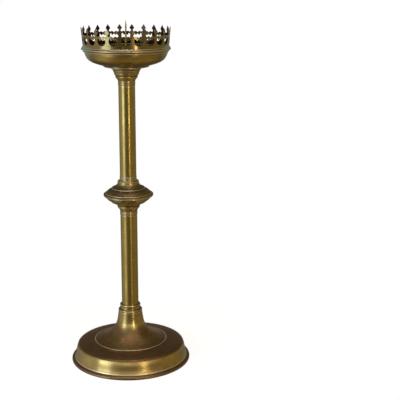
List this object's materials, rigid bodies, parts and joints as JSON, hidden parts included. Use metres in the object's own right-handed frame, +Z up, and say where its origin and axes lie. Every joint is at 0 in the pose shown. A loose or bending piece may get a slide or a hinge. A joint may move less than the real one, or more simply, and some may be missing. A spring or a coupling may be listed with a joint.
{
  "type": "altar candlestick",
  "caption": "Tall pricket candlestick: round dished foot, tubular stem with a moulded knop, drip pan with a pierced crest and a spike for the candle.",
  "frame": {"origin": "on the stem's axis, at the level of the surface that the foot stands on", "axes": "+Z up along the stem; the candlestick is round, and +X and +Y are across it, with a hole of the crest facing -Y"},
  "size_m": [0.1874, 0.1874, 0.5337],
  "materials": {
    "foot_dish": "aged brass, browned on top and brushed on the skirt",
    "foot_trumpet": "aged brass, satin polish",
    "stem_tube": "aged brass, olive patina, drawn and polished lengthwise",
    "knop": "aged brass, brown patina with bright turned edges",
    "turned_brass": "aged turned brass with fine tool lines",
    "pan": "aged spun brass, olive brown patina",
    "rim_ring": "aged turned brass, worn bright along the edge",
    "gallery": "aged pierced brass sheet with a trace of verdigris",
    "iron": "dark iron",
    "rod": "dull mild steel",
    "washer_leather": "dark dry leather"
  },
  "bodies": {
    "stand": {"foot_dish": "foot_dish", "foot_rim_wire": "iron", "foot_trumpet": "foot_trumpet", "foot_collar": "turned_brass", "clamp_plate": "iron", "clamp_washer": "iron", "clamp_nut": "iron", "tie_rod": "rod", "lower_tube": "stem_tube", "lower_tube_ferrule": "turned_brass", "knop_lower_shell": "knop", "knop_upper_shell": "knop", "knop_spacer": "iron", "upper_tube_lower_ferrule": "turned_brass", "upper_tube": "stem_tube", "upper_tube_top_ferrule": "turned_brass", "neck_cup": "turned_brass", "stem_head_socket": "turned_brass"},
    "seal": {"pan_washer": "washer_leather"},
    "head": {"pan_foot_ring": "turned_brass", "pan_lock_nut": "turned_brass", "pan": "pan", "pan_rim_ring": "rim_ring", "gallery": "gallery", "pricket_collar": "turned_brass", "pricket": "turned_brass"}
  },
  "joints": [
    {"name": "pan_turn", "type": "hinge", "parent": "stand", "child": "seal", "pos_m": [0, 0, 0.461], "axis": [0, 0, 1], "range_deg": [0, 2160]},
    {"name": "pan_rise", "type": "slide", "parent": "seal", "child": "head", "axis": [0, 0, 1], "range_m": [0, 0.0096]}
  ],
  "couplings": [
    {"joint": "pan_rise", "follows": "pan_turn", "m_per_rad": 0.00025266}
  ]
}
